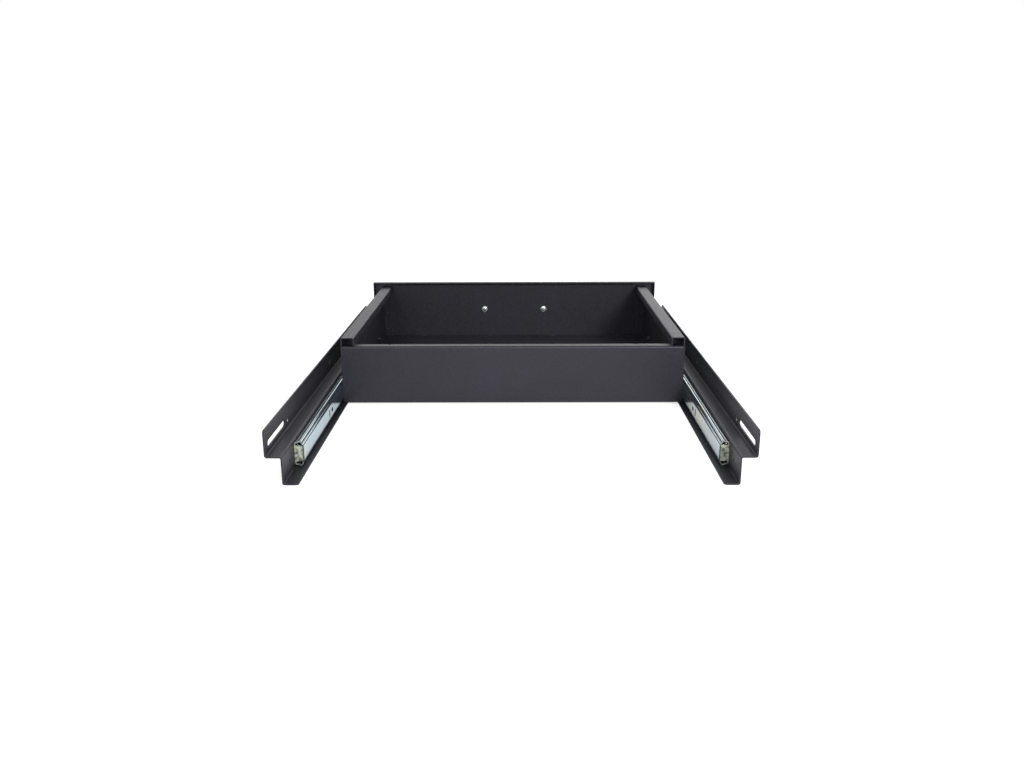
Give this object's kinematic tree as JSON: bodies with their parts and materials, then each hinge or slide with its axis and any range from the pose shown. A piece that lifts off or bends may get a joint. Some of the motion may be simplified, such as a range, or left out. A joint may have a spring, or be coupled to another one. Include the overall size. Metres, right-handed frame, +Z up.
{
  "type": "sliding rack drawer",
  "caption": "Black steel rack drawer with hemmed sides, low back, pan-shaped front and bow handle, sliding on ball-bearing rails between long folded side brackets with slotted ears.",
  "frame": {"origin": "centre of the overall box in plan, on the undersides of the brackets' lips", "axes": "+Y points to the rear of the rack, so the drawer's front faces -Y and it pulls out along -Y; +X is the viewer's right from in front; +Z is up"},
  "size_m": [0.4826, 0.6274, 0.086],
  "materials": {
    "powder_coat": "fine-textured anthracite black powder coat, satin",
    "handle_black": "satin black stove enamel on a bent aluminium bar",
    "rail_zinc": "bright blue-white zinc plate",
    "cage_steel": "bare stamped steel",
    "ball_steel": "polished hardened steel, lightly oiled",
    "rivet_steel": "zinc-plated rivet",
    "zinc_screw": "zinc-plated screw",
    "black_fastener": "rivet under the drawer's powder coat"
  },
  "bodies": {
    "root": {"left_bracket": "powder_coat", "right_bracket": "powder_coat", "left_outer_rail": "rail_zinc", "right_outer_rail": "rail_zinc", "left_bracket_rivets": "rivet_steel", "right_bracket_rivets": "rivet_steel"},
    "drawer": {"drawer_tray": "powder_coat", "back_panel": "powder_coat", "front_panel": "powder_coat", "front_rivets": "black_fastener", "handle": "handle_black", "handle_screws": "zinc_screw", "handle_washers": "zinc_screw", "left_inner_rail": "rail_zinc", "right_inner_rail": "rail_zinc", "left_rail_screws": "zinc_screw", "right_rail_screws": "zinc_screw"},
    "left_cage": {"left_ball_cage": "cage_steel", "left_balls": "ball_steel"},
    "right_cage": {"right_ball_cage": "cage_steel", "right_balls": "ball_steel"}
  },
  "joints": [
    {"name": "drawer_slide", "type": "slide", "parent": "root", "child": "drawer", "axis": [0, -1, 0], "range_m": [0, 0.375]},
    {"name": "left_cage_roll", "type": "slide", "parent": "root", "child": "left_cage", "axis": [0, -1, 0], "range_m": [0, 0.1875]},
    {"name": "right_cage_roll", "type": "slide", "parent": "root", "child": "right_cage", "axis": [0, -1, 0], "range_m": [0, 0.1875]}
  ],
  "couplings": [
    {"joint": "left_cage_roll", "follows": "drawer_slide", "ratio": 0.5},
    {"joint": "right_cage_roll", "follows": "drawer_slide", "ratio": 0.5}
  ]
}
